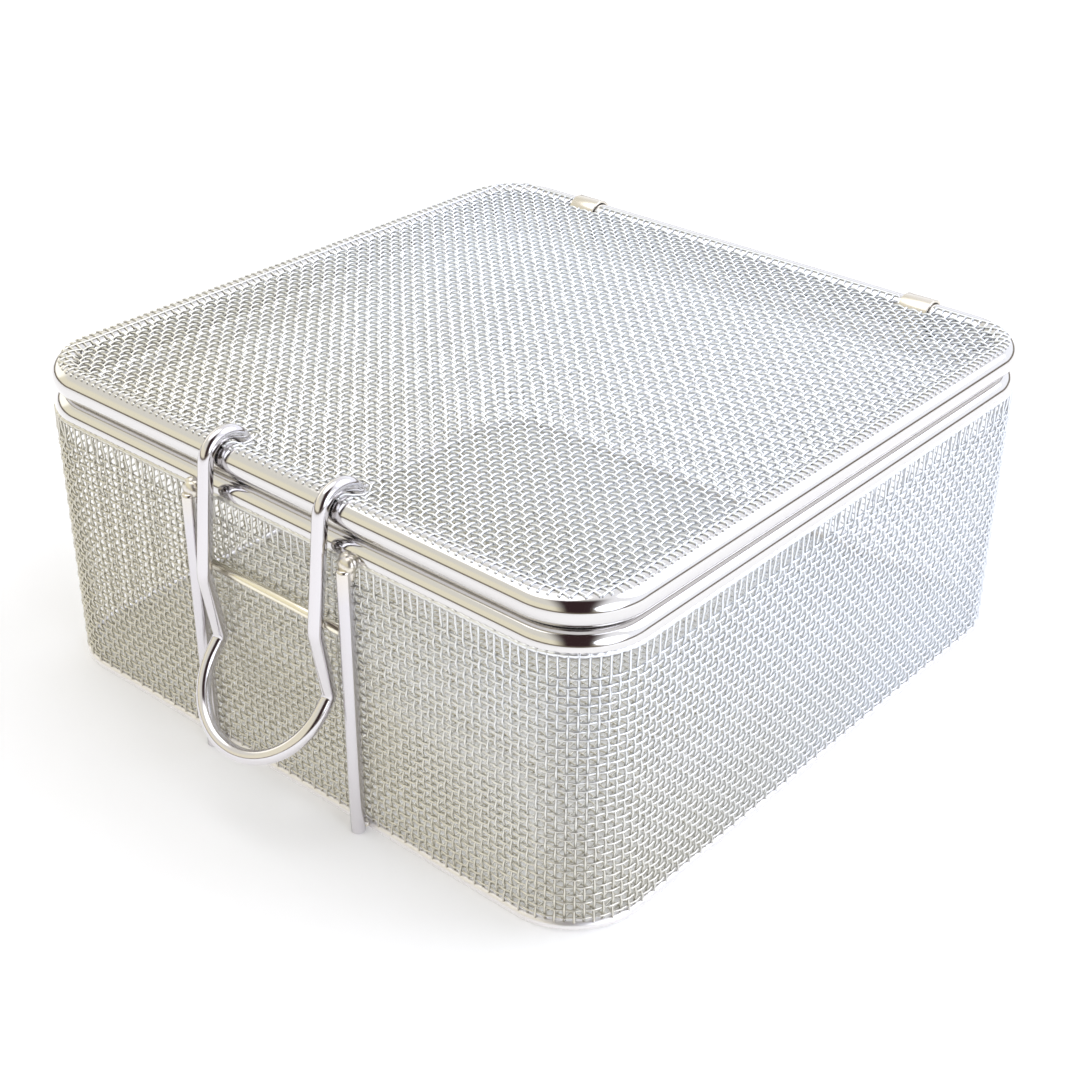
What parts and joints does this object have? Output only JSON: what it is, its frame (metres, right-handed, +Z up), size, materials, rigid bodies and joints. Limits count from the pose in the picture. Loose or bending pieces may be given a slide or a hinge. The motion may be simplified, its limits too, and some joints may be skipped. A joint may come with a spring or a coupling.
{
  "type": "sterilization basket",
  "caption": "Small square basket of woven stainless wire cloth with a hinged lid and a bent wire latch, for small instruments during sterilization.",
  "frame": {"origin": "middle of the base, on the surface that the basket stands on", "axes": "+Z up, -Y towards the latch at the front, +Y towards the hinge straps, +X to the right seen from the front"},
  "size_m": [0.107, 0.1178, 0.0513],
  "materials": {
    "wire_cloth": "electropolished stainless steel wire cloth, satin",
    "rim_bead": "electropolished stainless steel wire, bright",
    "frame_wire": "electropolished stainless steel wire, satin",
    "latch_wire": "electropolished stainless spring wire, bright",
    "strap_sheet": "stainless steel strip, heat-tinted at its weld"
  },
  "bodies": {
    "basket": {"basket_rim": "rim_bead", "wall_mesh": "wire_cloth", "base_mesh": "wire_cloth", "base_ring": "frame_wire", "upright_left": "frame_wire", "upright_right": "frame_wire", "catch_bar": "frame_wire", "hinge_strap_left": "strap_sheet", "hinge_strap_right": "strap_sheet"},
    "lid": {"lid_rim": "rim_bead", "lid_mesh": "wire_cloth"},
    "latch": {"latch": "latch_wire"}
  },
  "joints": [
    {"name": "lid_hinge", "type": "hinge", "parent": "basket", "child": "lid", "pos_m": [0, 0.051, 0.0468], "axis": [-1, 0, 0], "range_deg": [0, 180]},
    {"name": "latch_hinge", "type": "hinge", "parent": "lid", "child": "latch", "pos_m": [0, -0.051, 0.0468], "axis": [-1, 0, 0], "range_deg": [0, 50]}
  ]
}
